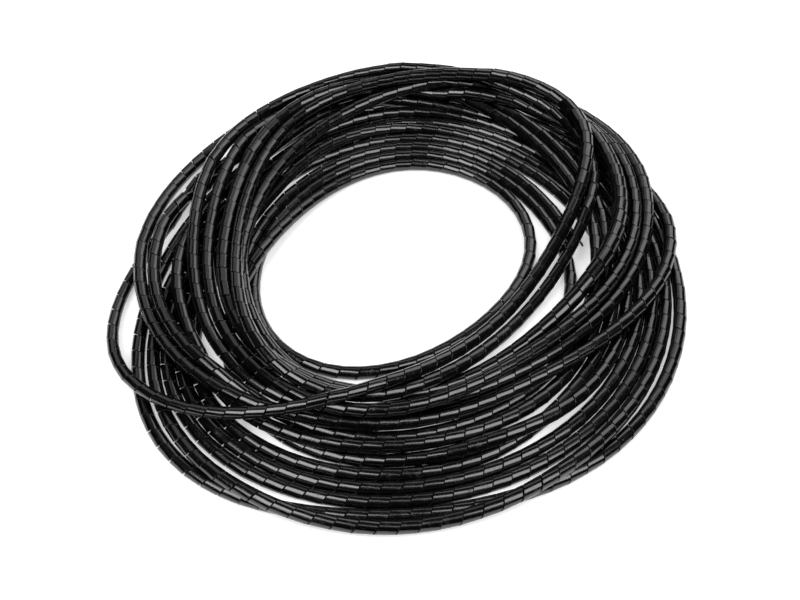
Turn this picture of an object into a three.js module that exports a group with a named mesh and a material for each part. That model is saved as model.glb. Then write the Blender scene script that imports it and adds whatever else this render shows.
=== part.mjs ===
// A loose coil of black spiral cable wrap: one length of slit polyethylene tube, wound flat.
// Millimetres, +Z up. The coil lies on z = 0 with its axis on Z, and the origin is on the floor
// in the middle of the bore.
import * as THREE from "three";

// Driving dimensions
const wrapDiameter = 6; // outside of the spiral tube
const boreDiameter = 134; // clear hole through the middle of the coil
const turnGap = 2.8; // clear space between neighbouring turns of one row
const rowTurns = [8, 5, 2, 1]; // turns in each row, from the floor up: 16 in all
const footWidth = 2; // flat that a bottom turn rests on
const valleyAngle = 25; // degrees of a turn's side that are hidden where it meets the next turn
const arcStep = 46; // degrees between the points round a turn, at most
const sweepSegments = 54; // flats round the coil

// Worked out from them
const wrapRadius = wrapDiameter / 2;
const turnSpacing = wrapDiameter + turnGap;
const boreRadius = boreDiameter / 2;
const footAngle = THREE.MathUtils.radToDeg(Math.asin(footWidth / wrapDiameter));
const bottomHeight = wrapRadius * Math.cos(THREE.MathUtils.degToRad(footAngle));
// A turn of the next row settles into the gap between two turns until it touches both.
const rowRise = Math.sqrt(Math.max(0, wrapDiameter ** 2 - (turnSpacing / 2) ** 2));
const middleRadius = boreRadius + wrapRadius + ((rowTurns[0] - 1) * turnSpacing) / 2;

const wrapPlastic = new THREE.MeshStandardMaterial({
  name: "black_polyethylene",
  color: 0x0c0c0d,
  roughness: 0.38,
  metalness: 0,
});

// The middles of one row's turns, in (radius, height), from the bore outwards.
function rowCentres(row) {
  const count = rowTurns[row];
  return Array.from({ length: count }, (_, turn) => {
    const offset = (turn - (count - 1) / 2) * turnSpacing;
    return new THREE.Vector2(middleRadius + offset, bottomHeight + row * rowRise);
  });
}

// Turns seen from above, from the outside in: each row leaves the ends of the row below in view.
function upperCentres() {
  const outer = [];
  const inner = [];
  for (let row = 0; row < rowTurns.length; row += 1) {
    const above = rowTurns[row + 1] ?? 0;
    const centres = rowCentres(row);
    const halfAbove = ((above - 1) / 2) * turnSpacing;
    const open = centres.filter((c) => above === 0 || Math.abs(c.x - middleRadius) > halfAbove);
    outer.push(...open.filter((c) => c.x >= middleRadius).reverse());
    inner.unshift(...open.filter((c) => c.x < middleRadius).reverse());
  }
  return [...outer, ...inner];
}

// Angle in degrees from one turn's middle towards another's.
function heading(from, to) {
  return THREE.MathUtils.radToDeg(Math.atan2(to.y - from.y, to.x - from.x));
}

// Degrees of a turn's round that its neighbour covers, on either side of the line to it.
function coveredAngle(from, to) {
  const meeting = Math.min(1, from.distanceTo(to) / wrapDiameter);
  return Math.max(valleyAngle, THREE.MathUtils.radToDeg(Math.acos(meeting)));
}

// Points on a turn's round, anticlockwise from one angle to another, both in degrees.
function arcPoints(centre, start, end) {
  const steps = Math.max(1, Math.ceil((end - start) / arcStep));
  return Array.from({ length: steps + 1 }, (_, step) => {
    const angle = THREE.MathUtils.degToRad(start + ((end - start) * step) / steps);
    return new THREE.Vector2(
      centre.x + wrapRadius * Math.cos(angle),
      centre.y + wrapRadius * Math.sin(angle),
    );
  });
}

// The closed section of the coil: under the bottom row from the bore outwards, then back over the top.
function coilSection() {
  const bottom = rowCentres(0);
  const top = upperCentres().slice(1, -1);
  const walk = [...bottom, ...top];
  const points = [];
  walk.forEach((centre, index) => {
    const before = walk.at(index - 1);
    const after = walk[(index + 1) % walk.length];
    const start = heading(centre, before) + coveredAngle(centre, before);
    let end = heading(centre, after) - coveredAngle(centre, after);
    while (end <= start) end += 360;
    if (index < bottom.length) {
      points.push(...arcPoints(centre, start, 270 - footAngle));
      points.push(...arcPoints(centre, 270 + footAngle, end));
    } else {
      points.push(...arcPoints(centre, start, end));
    }
  });
  points.push(points[0].clone());
  return points;
}

function wrapCoil() {
  const geometry = new THREE.LatheGeometry(coilSection(), sweepSegments);
  geometry.rotateX(Math.PI / 2);
  const coil = new THREE.Mesh(geometry, wrapPlastic);
  coil.name = "wrap_coil";
  return coil;
}

const spiralWrap = new THREE.Group();
spiralWrap.add(wrapCoil());

export default spiralWrap;
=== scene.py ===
import math

import bmesh
import bpy
import numpy as np
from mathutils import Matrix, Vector


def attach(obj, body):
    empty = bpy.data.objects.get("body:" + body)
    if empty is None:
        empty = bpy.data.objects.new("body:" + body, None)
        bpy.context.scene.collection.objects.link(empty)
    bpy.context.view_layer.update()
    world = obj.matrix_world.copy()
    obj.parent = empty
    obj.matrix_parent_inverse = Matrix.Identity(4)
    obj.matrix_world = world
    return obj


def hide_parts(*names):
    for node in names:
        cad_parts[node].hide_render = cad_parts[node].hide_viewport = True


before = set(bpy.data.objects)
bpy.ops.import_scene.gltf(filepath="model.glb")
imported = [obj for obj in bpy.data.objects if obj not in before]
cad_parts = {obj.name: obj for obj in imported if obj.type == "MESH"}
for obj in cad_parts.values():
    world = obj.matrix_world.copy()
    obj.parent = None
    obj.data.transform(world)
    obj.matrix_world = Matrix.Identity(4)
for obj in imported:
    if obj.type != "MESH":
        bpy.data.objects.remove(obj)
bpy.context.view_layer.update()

mm = 0.001

# The view

viewSettings = {
    "elevation": 53.5,  # degrees above the floor
    "distance": 455.6 * mm,  # from the aim point
    "aim": (0.0, -16.0 * mm, 0.0),
    "pictureWidth": 800.0,  # pixels, as the next two are
    "focalPixels": 985.0,
    "middleColumn": 396.5,  # the column that the camera looks through
}


def makeCamera():
    pictureWidth = viewSettings["pictureWidth"]
    cam = bpy.data.cameras.new("viewCamera")
    cam.sensor_width = 36.0
    cam.lens = viewSettings["focalPixels"] / pictureWidth * cam.sensor_width
    cam.shift_x = (pictureWidth / 2 - viewSettings["middleColumn"]) / pictureWidth
    cam.clip_start = 0.01
    obj = bpy.data.objects.new("viewCamera", cam)
    bpy.context.scene.collection.objects.link(obj)
    up = math.radians(viewSettings["elevation"])
    away = Vector((0.0, -math.cos(up), math.sin(up)))
    obj.location = Vector(viewSettings["aim"]) + away * viewSettings["distance"]
    obj.rotation_euler = (-away).to_track_quat("-Z", "Y").to_euler()
    bpy.context.scene.camera = obj


makeCamera()
print("camera set")

# How the wrap lies. Each turn starts at the left and runs anticlockwise seen from above. Its reach
# is the distance from the middle of the coil, in mm, at the left, front left, front, front right,
# right, back right, back and back left, as the camera sees it against a level at mid height. Its
# width is how far the wrap has sprung open or drawn in at the same places. A bulge is a heading, how
# far the turn leans out there, and over how many degrees: headings run on from 180 at the left to
# 540. Where two turns cross, the higher layer is on top. A turn that starts on another layer than
# the rest of it has a firstLayer.

coilSettings = {
    "turns": [
        {"layer": -1, "reach": (90, 90, 90, 90, 79, 77, 73, 65)},
        {"layer": 0, "reach": (70, 87, 88, 82, 83, 73, 67, 59)},
        {"layer": -0.5, "reach": (65, 76, 63, 52, 67, 66, 61, 53)},
        {"layer": 5, "reach": (61, 96, 103, 109, 103, 91, 85, 75)},
        {"layer": 4, "reach": (77, 110, 109, 103, 94, 84, 79, 70)},
        {"layer": 2, "reach": (83, 117, 115, 115, 109, 98, 91, 80), "bulges": [(298, -3, 16)]},
        {"layer": 3, "reach": (93, 123, 122, 121, 115, 104, 97, 84), "bulges": [(302, -1, 16)]},
        {"layer": 1, "reach": (94, 130, 131, 126, 119, 109, 102, 88)},
        {"layer": 0, "reach": (103, 137, 128, 132, 128, 117, 107, 92)},
        {"layer": 6, "reach": (102, 104, 99, 96, 97, 108, 113, 97), "bulges": [(262, 3, 14)]},
        {"layer": 7, "reach": (113, 98, 93, 91, 100, 101, 119, 114)},
        {"layer": 9, "reach": (118, 101, 91, 86, 125, 121, 110, 100), "bulges": [(373, 4, 14)]},
        {
            "layer": 14,
            "firstLayer": 6,
            "reach": (112, 113, 72, 57, 68, 136, 121, 93),
            "width": (5.4, 5.3, 5.6, 6.0, 6.4, 7.0, 6.4, 5.6),
            "bulges": [(204, 23, 15), (248, -6, 14), (380, -8, 12), (470, 6, 12), (518, -7, 13)],
        },
        {
            "layer": 13,
            "reach": (72, 82, 78, 61, 80, 125, 121, 114),
            "width": (5.6, 5.8, 6.0, 5.8, 5.4, 5.2, 5.6, 6.2),
            "bulges": [(470, 4, 14)],
        },
        {
            "layer": 10,
            "reach": (92, 92, 86, 81, 110, 131, 116, 108),
            "bulges": [(380, 8, 14), (472, 5, 12), (518, -4, 13)],
        },
        {
            "layer": 11,
            "reach": (86, 89, 83, 76, 104, 133, 113, 100),
            "width": (6.0, 6.0, 6.0, 6.0, 6.0, 6.0, 6.4, 7.2),
            "bulges": [(382, 5, 14), (474, 7, 12), (518, -7, 13)],
        },
        {
            "layer": 12,
            "reach": (78, 85, 80, 69, 97, 130, 109, 81),
            "width": (7.4, 7.0, 6.6, 7.0, 7.6, 7.2, 6.6, 6.0),
        },
        {"layer": 12.5, "reach": (70, 78, 76, 76, 76, 76, 76, 76)},
    ],
    "readHeight": 12.0,  # mm, the level that the reaches are read against
    "startHeading": 362.0,  # degrees, where the lower end lies on the first turn
    "endHeading": 262.0,  # degrees, where the upper end is tucked in on the last one
    "diameter": 6.0,
    "spacing": 3.0,  # mm between the points of the line
    "oneStrand": 10,  # points along the line within which nothing touches
    "highest": 27.4,  # mm that no turn stands above
    "leastBend": 36.0,  # mm, the tightest bend
    "bendReach": 5.0,  # points over which the wrap holds itself straight
    "riseReach": 4,  # points before a crossing where a turn starts to rise
    "layerLead": 3.0,  # mm that a layer counts for, in which of two crossing turns is on top
    "crossingSlant": 0.12,  # sine of the angle from which two turns count as crossing
    "crossingRange": 0.2,  # how much more of it makes them cross in full
    "rounds": 700,
    "lastRounds": 140,  # the last of them, where the turns only press apart
    "pairRounds": 8,  # rounds between two searches for near pairs
    "pairRoom": 1.2,  # mm of air between two turns that still count as near
    "drop": 0.125,  # mm that a point sinks in a round, until something carries it
    "pull": 0.08,  # share of the way back to its place that a point takes in a round
    "stiffness": 0.45,  # share of the way to a straighter line
    "lastStiffness": 0.4,  # share of the stiffness that is left in the last rounds
    "easing": 0.6,  # share of a tight bend that is straightened at a time
    "crowding": 0.55,  # how far the pushes on one point are shared out
    "longestPush": 0.7,  # mm
}
placesPerTurn = 8
leftHeading = 180.0  # degrees, where a turn starts
tiny = 1e-9  # added to a length before anything is divided by it


def rowLengths(rows):
    return np.sqrt((rows**2).sum(1))


# weights in the shape of a bell, out to reach on either side, that add up to one
def bellWeights(spread, reach):
    span = np.arange(-reach, reach + 1)
    weights = np.exp(-(span**2) / (2 * spread**2))
    return weights / weights.sum()


# a smooth curve through the values, read at places between them
def smoothBetween(values, place):
    knot = np.floor(place).astype(int)
    t = place - knot
    before, here, after, beyond = (
        values[np.clip(knot + k, 0, len(values) - 1)] for k in (-1, 0, 1, 2)
    )
    slopeHere = (after - before) / 2
    slopeAfter = (beyond - here) / 2
    return (
        (2 * t**3 - 3 * t**2 + 1) * here
        + (t**3 - 2 * t**2 + t) * slopeHere
        + (3 * t**2 - 2 * t**3) * after
        + (t**3 - t**2) * slopeAfter
    )


# the line seen from above, in mm, and the layer and the width at each point
def layTurns():
    turns = coilSettings["turns"]
    plain = (coilSettings["diameter"],) * placesPerTurn
    reach = np.array([r for turn in turns for r in turn["reach"]], float)
    widths = np.array([w for turn in turns for w in turn.get("width", plain)])
    layers = np.repeat([float(turn["layer"]) for turn in turns], placesPerTurn)
    # the last place of a turn lies half way to the layer where the next turn starts
    startLayers = layers[placesPerTurn::placesPerTurn]
    startLayers[:] = [turn.get("firstLayer", turn["layer"]) for turn in turns[1:]]
    layers[placesPerTurn - 1 : -1 : placesPerTurn] += startLayers
    layers[placesPerTurn - 1 : -1 : placesPerTurn] /= 2

    last = 360.0 * (len(turns) - 1) + coilSettings["endHeading"]
    heading = np.arange(coilSettings["startHeading"], last, 1.0)
    place = (heading - leftHeading) / (360.0 / placesPerTurn)
    radius = smoothBetween(reach, place)
    for number, turn in enumerate(turns):
        for middle, out, spread in turn.get("bulges", []):
            radius += out * np.exp(-(((heading - 360.0 * number - middle) / spread) ** 2))
    angle = np.radians(heading)
    flat = np.column_stack([radius * np.cos(angle), radius * np.sin(angle)])
    along = np.r_[0, np.cumsum(np.hypot(*np.diff(flat, axis=0).T))]
    marks = np.arange(0, along[-1], coilSettings["spacing"])

    # what holds at each heading, in even steps along the line
    def inSteps(values):
        return np.interp(marks, along, values)

    level = inSteps(np.interp(place, np.arange(len(layers)), layers))
    width = inSteps(np.interp(place, np.arange(len(widths)), widths))
    return np.column_stack([inSteps(flat[:, 0]), inSteps(flat[:, 1])]), level, width


# sets each point down on what lies below it, from the lowest layer up
def stackTurns(flat, level):
    size = coilSettings["diameter"]
    height = np.full(len(flat), size / 2)
    index = np.arange(len(flat))
    done = np.zeros(len(flat), bool)
    for k in np.argsort(level, kind="stable"):
        near = done & (np.abs(index - k) > coilSettings["oneStrand"])
        squares = ((flat[near] - flat[k]) ** 2).sum(1)
        under = squares < size**2
        if under.any():
            height[k] = (height[near][under] + np.sqrt(size**2 - squares[under])).max()
        done[k] = True
    # a turn starts to rise before the one that it crosses
    reach = coilSettings["riseReach"]
    padded = np.pad(height, reach, mode="edge")
    height = np.max([padded[k : k + len(height)] for k in range(2 * reach + 1)], axis=0)
    padded = np.pad(height, 3 * reach, mode="edge")
    return np.convolve(padded, bellWeights(reach, 3 * reach), "valid")


# pairs closer than reach, and more than apart points from each other along the line
def nearPairs(points, reach, apart):
    cell = np.floor(points / reach).astype(np.int64)
    cell -= cell.min(0)
    wide = cell.max(0) + 3
    key = ((cell[:, 0] + 1) * wide[1] + cell[:, 1] + 1) * wide[2] + cell[:, 2] + 1
    order = np.argsort(key, kind="stable")
    sortedKey = key[order]
    firsts, seconds = [], []
    steps = (-1, 0, 1)
    for offset in [(a * wide[1] + b) * wide[2] + c for a in steps for b in steps for c in steps]:
        low = np.searchsorted(sortedKey, key + offset, "left")
        count = np.searchsorted(sortedKey, key + offset, "right") - low
        first = np.repeat(np.arange(len(points)), count)
        start = np.repeat(low - np.r_[0, np.cumsum(count)[:-1]], count)
        second = order[np.arange(count.sum()) + start]
        keep = second > first + apart
        firsts.append(first[keep])
        seconds.append(second[keep])
    first, second = np.concatenate(firsts), np.concatenate(seconds)
    keep = ((points[first] - points[second]) ** 2).sum(1) < reach**2
    return first[keep], second[keep]


def smoothLine(points, weights):
    half = len(weights) // 2
    head = 2 * points[0] - points[half:0:-1]
    tail = 2 * points[-1] - points[-2 : -half - 2 : -1]
    padded = np.vstack([head, points, tail])
    return np.column_stack([np.convolve(padded[:, k], weights, "valid") for k in range(3)])


# where the sight line through each place at the reading height meets the height given
def alongSight(flat, height):
    eye = np.array(bpy.context.scene.camera.location) / mm
    share = (eye[2] - height) / (eye[2] - coilSettings["readHeight"])
    return eye[:2] + (flat - eye[:2]) * share[:, None]


# How far the two points of each touching pair move apart. Side by side they move straight apart.
# Where the turns cross, the higher layer moves up, square to both.
def pressApart(points, level, width, first, second):
    between = points[second] - points[first]
    gap = rowLengths(between) + tiny
    size = (width[first] + width[second]) / 2
    touching = gap < size
    size, gap, between = size[touching], gap[touching], between[touching]
    one, other = first[touching], second[touching]
    aside = between * ((size - gap) / 2 / gap)[:, None]
    along = np.gradient(points, axis=0)
    along /= rowLengths(along)[:, None]
    square = np.cross(along[one], along[other])
    slant = rowLengths(square) + tiny
    square *= (np.sign(square[:, 2]) / slant)[:, None]
    over = between[:, 2] + coilSettings["layerLead"] * (level[other] - level[one])
    square *= np.sign(over)[:, None]
    apart = (between * square).sum(1)
    wanted = np.sqrt(np.maximum(0, size**2 - (gap**2 - apart**2)))
    upwards = square * ((wanted - apart) / 2)[:, None]
    crossing = (slant - coilSettings["crossingSlant"]) / coilSettings["crossingRange"]
    crossing = np.clip(crossing, 0, 1)[:, None]
    return one, other, aside * (1 - crossing) + upwards * crossing


# straightens what bends tighter than the wrap can, over one step and over three
def easeBends(points):
    for stride in (1, 3):
        most = (stride * coilSettings["spacing"]) ** 2 / (2 * coilSettings["leastBend"])
        before, here, after = (points[k * stride : len(points) - (2 - k) * stride] for k in range(3))
        off = (before + after) / 2 - here
        bend = rowLengths(off) + tiny
        off *= np.maximum(0, 1 - most / bend)[:, None]
        # the middle of three points gives way, and the outer two half as far the other way
        change = np.zeros_like(points)
        change[stride : len(points) - stride] += 0.5 * off
        change[: len(points) - 2 * stride] -= 0.25 * off
        change[2 * stride :] -= 0.25 * off
        points += coilSettings["easing"] * change


# lets the stacked turns sink and slide until they lie beside and on each other
def settleTurns(flat, level, width, height):
    coil = coilSettings
    count = len(flat)
    points = np.column_stack([flat, height])
    weights = bellWeights(coil["bendReach"], int(3 * coil["bendReach"] + 1))
    reach = width.max() + coil["pairRoom"]
    for done in range(coil["rounds"]):
        if done % coil["pairRounds"] == 0:
            first, second = nearPairs(points, reach, coil["oneStrand"])
        last = done >= coil["rounds"] - coil["lastRounds"]
        if not last:
            points[:, 2] -= coil["drop"]
            points[:, :2] += coil["pull"] * (alongSight(flat, points[:, 2]) - points[:, :2])
        smooth = smoothLine(points, weights)
        straight = 2 * smooth - smoothLine(smooth, weights)
        stiffness = coil["stiffness"] * (coil["lastStiffness"] if last else 1.0)
        points += stiffness * (straight - points)
        for _ in range(2):
            one, other, push = pressApart(points, level, width, first, second)
            forwards = [np.bincount(other, push[:, k], count) for k in range(3)]
            backwards = [np.bincount(one, push[:, k], count) for k in range(3)]
            move = np.column_stack(forwards) - np.column_stack(backwards)
            shared = np.bincount(one, minlength=count) + np.bincount(other, minlength=count)
            move /= np.maximum(1, shared * coil["crowding"])[:, None]
            far = rowLengths(move) + tiny
            points += move * np.minimum(1, coil["longestPush"] / far)[:, None]
            for _ in range(3 if last else 1):
                easeBends(points)
            points[:, 2] = np.clip(points[:, 2], width / 2, coil["highest"] - width / 2)
    return points


flatLine, lineLevel, lineWidth = layTurns()
stacked = stackTurns(flatLine, lineLevel)
centreLine = settleTurns(flatLine, lineLevel, lineWidth, stacked)

# The band: a polyethylene tube cut along a left-handed helix, so that each pass opens by itself

bandSettings = {
    "tubeRadius": 3.0 * mm,
    "wall": 1.0 * mm,
    "pitch": 8.4 * mm,
    "slit": 0.34 * mm,
    "edgeRound": 0.08 * mm,
    "stepsPerPass": 13,
    "tilt": 0.03,  # how far a pass leans, one edge out and the other in
    "wander": 0.3 * mm,  # how far the passes are pulled or pushed along the line
    "wanderReach": 38.0 * mm,
    "seed": 7,
    "sharpAngle": 38.0,  # degrees between two faces, past which their edge is sharp
}


def newTree(name, sockets):
    tree = bpy.data.node_groups.new(name, "GeometryNodeTree")
    tree.interface.new_socket("Geometry", in_out="INPUT", socket_type="NodeSocketGeometry")
    for label, kind in sockets:
        tree.interface.new_socket(label, in_out="INPUT", socket_type=kind)
    tree.interface.new_socket("Geometry", in_out="OUTPUT", socket_type="NodeSocketGeometry")
    return tree


# adds nodes to a tree and joins them up
class Wiring:
    def __init__(self, tree):
        self.tree = tree
        self.column = 0

    def add(self, kind, settings=None, **inputs):
        node = self.tree.nodes.new(kind)
        node.location = (self.column * 190, 0)
        self.column += 1
        for key, value in (settings or {}).items():
            setattr(node, key, value)
        for key, value in inputs.items():
            self.join(node, key.replace("_", " "), value)
        return node

    # key is a socket's name, or its number where names repeat
    def join(self, node, key, value):
        if isinstance(value, bpy.types.NodeSocket):
            self.tree.links.new(value, node.inputs[key])
        else:
            node.inputs[key].default_value = value

    def math(self, operation, *values):
        node = self.add("ShaderNodeMath", {"operation": operation})
        for k, value in enumerate(values):
            self.join(node, k, value)
        return node.outputs[0]

    def vector(self, operation, *values):
        node = self.add("ShaderNodeVectorMath", {"operation": operation})
        for k, value in enumerate(values):
            self.join(node, "Scale" if operation == "SCALE" and k == 1 else k, value)
        return node.outputs[0]


def bandTree():
    number, whole = "NodeSocketFloat", "NodeSocketInt"
    tree = newTree(
        "spiralBand",
        [
            ("Tube Radius", number),
            ("Wall", number),
            ("Pitch", number),
            ("Slit", number),
            ("Edge Round", number),
            ("Steps per Pass", whole),
            ("Tilt", number),
            ("Wander", number),
            ("Wander Reach", number),
            ("Seed", whole),
            ("Material", "NodeSocketMaterial"),
        ],
    )
    nodes = Wiring(tree)
    given = nodes.add("NodeGroupInput").outputs
    line = nodes.add("GeometryNodeMeshToCurve", Mesh=given["Geometry"]).outputs["Curve"]
    line = nodes.add("GeometryNodeSetCurveNormal", {"mode": "Z_UP"}, Curve=line).outputs["Curve"]
    length = nodes.add("GeometryNodeCurveLength", Curve=line).outputs["Length"]
    bandWidth = nodes.math("SUBTRACT", given["Pitch"], given["Slit"])
    rise = nodes.math("DIVIDE", given["Pitch"], given["Steps per Pass"])
    endRoom = 0.55  # band widths from an end of the line to the first or last ring of corners
    room = nodes.math("SUBTRACT", length, nodes.math("MULTIPLY", bandWidth, 2 * endRoom))
    steps = nodes.math("FLOOR", nodes.math("DIVIDE", room, rise))

    # a closed six-sided strip, one ring of corners for each step
    corners = 6
    blank = nodes.add("GeometryNodeCurvePrimitiveLine").outputs["Curve"]
    blank = nodes.add("GeometryNodeResampleCurve", Curve=blank, Count=steps).outputs["Curve"]
    ring = nodes.add("GeometryNodeCurvePrimitiveCircle", Resolution=corners).outputs["Curve"]
    strip = nodes.add(
        "GeometryNodeCurveToMesh", Curve=blank, Profile_Curve=ring, Fill_Caps=True
    ).outputs["Mesh"]
    index = nodes.add("GeometryNodeInputIndex").outputs["Index"]
    step = nodes.math("DIVIDE", nodes.math("ADD", index, 0.5), float(corners))
    step = nodes.math("FLOOR", step)
    corner = nodes.math("SUBTRACT", index, nodes.math("MULTIPLY", step, float(corners)))
    rounded = nodes.math("DIVIDE", given["Edge Round"], bandWidth)
    farRound = nodes.math("SUBTRACT", 1.0, rounded)
    outer = given["Tube Radius"]
    inner = nodes.math("SUBTRACT", outer, given["Wall"])
    shoulder = nodes.math("SUBTRACT", outer, given["Edge Round"])

    def byCorner(values):
        switch = nodes.add("GeometryNodeIndexSwitch", {"data_type": "FLOAT"}, Index=corner)
        while len(switch.index_switch_items) < corners:
            switch.index_switch_items.new()
        for k, value in enumerate(values):
            nodes.join(switch, k + 1, value)
        return switch.outputs[0]

    # smooth noise about zero, that seldom goes past the amount
    def waver(along, row, amount):
        noise = nodes.add("ShaderNodeTexNoise", {"noise_dimensions": "2D"}, Scale=1.0, Detail=1.0)
        spot = nodes.add("ShaderNodeCombineXYZ", X=along, Y=row)
        nodes.join(noise, "Vector", spot.outputs[0])
        about = nodes.math("SUBTRACT", noise.outputs[0], 0.5)
        return nodes.math("MULTIPLY", about, nodes.math("MULTIPLY", amount, 4.0))

    across = byCorner([0.0, 0.0, rounded, farRound, 1.0, 1.0])
    out = byCorner([inner, shoulder, outer, outer, shoulder, inner])

    # where each step sits on the line
    even = nodes.math("MULTIPLY", step, rise)
    row = nodes.math("DIVIDE", even, given["Wander Reach"])
    shift = waver(row, given["Seed"], given["Wander"])
    even = nodes.math("ADD", even, nodes.math("MULTIPLY", bandWidth, endRoom))
    swell = nodes.add("GeometryNodeInputNamedAttribute", {"data_type": "FLOAT"}, Name="swell")
    sample = nodes.add("GeometryNodeSampleCurve", {"mode": "LENGTH"}, Curves=line)
    nodes.join(sample, "Value", swell.outputs[0])
    nodes.join(sample, "Length", nodes.math("ADD", even, shift))
    out = nodes.math("ADD", out, sample.outputs[0])
    # each pass leans a little, so that its two edges stand at different heights
    passes = nodes.math("DIVIDE", even, given["Pitch"])
    lean = waver(passes, nodes.math("ADD", given["Seed"], 5.0), given["Tilt"])
    lengthways = nodes.math("MULTIPLY", nodes.math("SUBTRACT", across, 0.5), bandWidth)
    out = nodes.math("ADD", out, nodes.math("MULTIPLY", lengthways, lean))
    angle = nodes.math("DIVIDE", step, given["Steps per Pass"])
    angle = nodes.math("MULTIPLY", angle, -math.tau)
    side = nodes.math("COSINE", angle)
    top = nodes.math("SINE", angle)
    tangent, normal = sample.outputs["Tangent"], sample.outputs["Normal"]
    binormal = nodes.vector("CROSS_PRODUCT", tangent, normal)
    sideways = nodes.vector("SCALE", normal, side)
    radial = nodes.vector("ADD", sideways, nodes.vector("SCALE", binormal, top))
    spread = nodes.vector("SCALE", tangent, lengthways)
    spread = nodes.vector("ADD", spread, nodes.vector("SCALE", radial, out))
    place = nodes.vector("ADD", sample.outputs["Position"], spread)
    strip = nodes.add("GeometryNodeSetPosition", Geometry=strip, Position=place).outputs[0]

    # for the material: round the tube and along it, and across the band
    tubeAlong = nodes.math("ADD", even, lengthways)
    tube = nodes.add("ShaderNodeCombineXYZ", X=side, Y=top, Z=tubeAlong)
    for name, kind, value in (
        ("tubePlace", "FLOAT_VECTOR", tube.outputs[0]),
        ("bandAcross", "FLOAT", across),
    ):
        store = nodes.add("GeometryNodeStoreNamedAttribute", {"data_type": kind}, Geometry=strip)
        nodes.join(store, "Name", name)
        nodes.join(store, "Value", value)
        strip = store.outputs[0]
    strip = nodes.add("GeometryNodeRealizeInstances", Geometry=strip).outputs[0]
    strip = nodes.add("GeometryNodeSetMaterial", Geometry=strip, Material=given["Material"])
    nodes.add("NodeGroupOutput", Geometry=strip.outputs[0])
    return tree


# Finish: black polyethylene, drawn lengthways and cut

finishSettings = {
    "deepBlack": (0.0004, 0.0004, 0.00045, 1.0),
    "paleBlack": (0.0016, 0.0016, 0.0017, 1.0),
    "paleShare": 0.8,
    "cutEdge": (0.004, 0.004, 0.0043, 1.0),
    "cutReach": (0.478, 0.499),  # band widths from its middle, where the cut starts and is full
    "gloss": 0.145,  # roughness of the clean skin
    "streakGloss": 0.1,  # added where the die has left a streak
    "scuffGloss": 0.22,  # added where it is rubbed
    "cutGloss": 0.2,  # added where it is cut
    "ior": 1.51,
    "shine": 0.76,  # specular level
    # how fine the patterns are, round the tube and along it: in radii, radii and metres
    "streakScale": (16.0, 16.0, 30.0),
    "shadeScale": (2.2, 2.2, 12.0),
    "waveScale": (0.8, 0.8, 95.0),
    # and on the object, in metres
    "grainScale": 7000.0,
    "scuffScale": 260.0,
    "hairlineScale": (900.0, 2600.0, 1500.0),
    "streakDepth": 0.002 * mm,
    "waveDepth": 0.05 * mm,
    "grainDepth": 0.0003 * mm,
}


def blackPolyethylene():
    finish = finishSettings
    mat = bpy.data.materials.new("blackPolyethylene")
    mat.use_nodes = True
    nodes = Wiring(mat.node_tree)
    shader = mat.node_tree.nodes["Principled BSDF"]
    shader.inputs["IOR"].default_value = finish["ior"]
    shader.inputs["Specular IOR Level"].default_value = finish["shine"]

    # round the tube in radii, and along it in metres
    tube = nodes.add("ShaderNodeAttribute", {"attribute_name": "tubePlace"}).outputs["Vector"]
    across = nodes.add("ShaderNodeAttribute", {"attribute_name": "bandAcross"}).outputs["Fac"]
    place = nodes.add("ShaderNodeTexCoord").outputs["Object"]

    # scale is one number, or three for a pattern that is drawn out
    def noise(vector, scale, detail):
        if isinstance(scale, tuple):
            vector = nodes.vector("MULTIPLY", vector, scale)
            scale = 1.0
        return nodes.add(
            "ShaderNodeTexNoise", Vector=vector, Scale=scale, Detail=detail, Roughness=0.6
        ).outputs[0]

    def ramp(value, low, high):
        node = nodes.add("ShaderNodeMapRange", {"interpolation_type": "SMOOTHSTEP"}, Value=value)
        nodes.join(node, 1, low)
        nodes.join(node, 2, high)
        return node.outputs[0]

    def blend(share, first, second):
        node = nodes.add("ShaderNodeMix", {"data_type": "RGBA"})
        nodes.join(node, 0, share)
        nodes.join(node, 6, first)
        nodes.join(node, 7, second)
        return node.outputs[2]

    # the sum of the first value and of each mask or pattern times its amount
    def total(value, *parts):
        for pattern, amount in parts:
            value = nodes.math("ADD", value, nodes.math("MULTIPLY", pattern, amount))
        return value

    streak = noise(tube, finish["streakScale"], 3.0)
    shade = noise(tube, finish["shadeScale"], 2.0)
    wave = noise(tube, finish["waveScale"], 1.0)
    grain = noise(place, finish["grainScale"], 2.0)
    scuff = noise(place, finish["scuffScale"], 4.0)
    hairline = noise(place, finish["hairlineScale"], 2.0)
    scuff = nodes.math("MULTIPLY", ramp(scuff, 0.5, 0.68), ramp(hairline, 0.46, 0.62))
    fromMiddle = nodes.math("ABSOLUTE", nodes.math("SUBTRACT", across, 0.5))
    cut = ramp(fromMiddle, *finish["cutReach"])

    pale = nodes.math("MULTIPLY", ramp(shade, 0.35, 0.7), finish["paleShare"])
    skin = blend(pale, finish["deepBlack"], finish["paleBlack"])
    nodes.join(shader, "Base Color", blend(cut, skin, finish["cutEdge"]))
    gloss = total(
        finish["gloss"],
        (ramp(streak, 0.4, 0.7), finish["streakGloss"]),
        (scuff, finish["scuffGloss"]),
        (cut, finish["cutGloss"]),
    )
    nodes.join(shader, "Roughness", gloss)
    height = total(
        nodes.math("MULTIPLY", streak, finish["streakDepth"]),
        (wave, finish["waveDepth"]),
        (grain, finish["grainDepth"]),
    )
    bump = nodes.add("ShaderNodeBump", Height=height, Distance=1.0, Strength=1.0)
    nodes.join(shader, "Normal", bump.outputs[0])
    return mat


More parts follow.
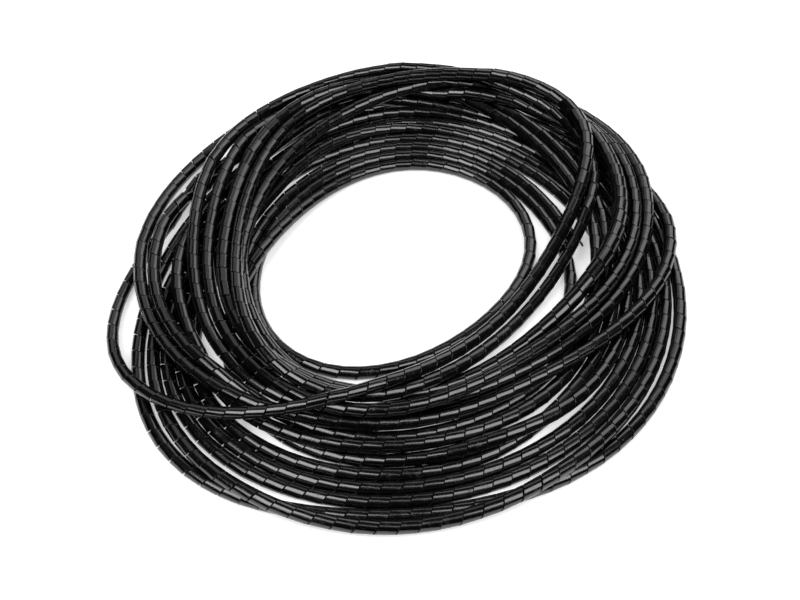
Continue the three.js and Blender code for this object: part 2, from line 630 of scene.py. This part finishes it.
def spiralWrap():
    points = [tuple(float(v) * mm for v in p) for p in centreLine]
    mesh = bpy.data.meshes.new("spiral_wrap_line")
    mesh.from_pydata(points, [(k, k + 1) for k in range(len(points) - 1)], [])
    # how far the wrap has sprung open or drawn in, at each point
    wider = lineWidth / 2 * mm - bandSettings["tubeRadius"]
    swell = mesh.attributes.new("swell", "FLOAT", "POINT")
    swell.data.foreach_set("value", wider.astype(np.float32))
    obj = bpy.data.objects.new("spiral_wrap_line", mesh)
    bpy.context.scene.collection.objects.link(obj)
    tree = bandTree()
    modifier = obj.modifiers.new("spiralBand", "NODES")
    modifier.node_group = tree
    band = bandSettings
    values = {
        "Tube Radius": band["tubeRadius"],
        "Wall": band["wall"],
        "Pitch": band["pitch"],
        "Slit": band["slit"],
        "Edge Round": band["edgeRound"],
        "Steps per Pass": band["stepsPerPass"],
        "Tilt": band["tilt"],
        "Wander": band["wander"],
        "Wander Reach": band["wanderReach"],
        "Seed": band["seed"],
        "Material": blackPolyethylene(),
    }
    for item in tree.interface.items_tree:
        if item.in_out == "INPUT" and item.name in values:
            modifier[item.identifier] = values[item.name]
    view = bpy.context.evaluated_depsgraph_get()
    made = bpy.data.meshes.new_from_object(obj.evaluated_get(view))
    bpy.data.objects.remove(obj)
    made.name = "spiral_wrap"
    work = bmesh.new()
    work.from_mesh(made)
    bmesh.ops.recalc_face_normals(work, faces=work.faces)
    for face in work.faces:
        face.smooth = True
    work.to_mesh(made)
    work.free()
    made.set_sharp_from_angle(angle=math.radians(band["sharpAngle"]))
    wrap = bpy.data.objects.new("spiral_wrap", made)
    bpy.context.scene.collection.objects.link(wrap)
    return wrap, points


wrap, wrapPath = spiralWrap()
wrap.data.calc_loop_triangles()
print("wrap made: %d triangles" % len(wrap.data.loop_triangles))
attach(wrap, "root")
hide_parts("wrap_coil")

# Floor and light

stageSettings = {
    "floorHalf": 4.0,  # metres from its middle to each side
    "floorColour": (0.9, 0.9, 0.9, 1.0),
    "floorRoughness": 0.9,
    "floorShine": 0.1,
    "floorGlow": 0.45,
    "worldStrength": 0.012,
    "lights": [  # name, place, width and height in metres, and power in watts
        ("softboxFrontLeft", (-0.30, -0.30, 0.66), (0.36, 0.56), 4.0),
        ("softboxFrontRight", (0.36, -0.30, 0.66), (0.40, 0.56), 3.4),
        ("softboxBackLeft", (-0.36, 0.60, 0.62), (0.70, 0.50), 0.75),
        ("softboxBackRight", (0.36, 0.60, 0.62), (0.70, 0.50), 2.3),
    ],
}


def makeFloor():
    half = stageSettings["floorHalf"]
    corners = [(-half, -half, 0), (half, -half, 0), (half, half, 0), (-half, half, 0)]
    mesh = bpy.data.meshes.new("floor")
    mesh.from_pydata(corners, [], [(0, 1, 2, 3)])
    mat = bpy.data.materials.new("floorWhite")
    mat.use_nodes = True
    shader = mat.node_tree.nodes["Principled BSDF"]
    shader.inputs["Base Color"].default_value = stageSettings["floorColour"]
    shader.inputs["Roughness"].default_value = stageSettings["floorRoughness"]
    shader.inputs["Specular IOR Level"].default_value = stageSettings["floorShine"]
    shader.inputs["Emission Color"].default_value = (1.0, 1.0, 1.0, 1.0)
    shader.inputs["Emission Strength"].default_value = stageSettings["floorGlow"]
    mesh.materials.append(mat)
    floor = bpy.data.objects.new("floor", mesh)
    bpy.context.scene.collection.objects.link(floor)


# a softbox that faces the middle of the coil
def addLight(name, place, size, power):
    light = bpy.data.lights.new(name, "AREA")
    light.shape = "RECTANGLE"
    light.size, light.size_y = size
    light.energy = power
    obj = bpy.data.objects.new(name, light)
    bpy.context.scene.collection.objects.link(obj)
    obj.location = place
    obj.rotation_euler = (-Vector(place)).to_track_quat("-Z", "Y").to_euler()


def makeWorld():
    world = bpy.data.worlds.new("studio")
    world.use_nodes = True
    background = world.node_tree.nodes["Background"]
    background.inputs["Color"].default_value = (1.0, 1.0, 1.0, 1.0)
    background.inputs["Strength"].default_value = stageSettings["worldStrength"]
    bpy.context.scene.world = world


makeFloor()
makeWorld()
for light in stageSettings["lights"]:
    addLight(*light)
bpy.context.scene.view_settings.view_transform = "Standard"
print("stage set")
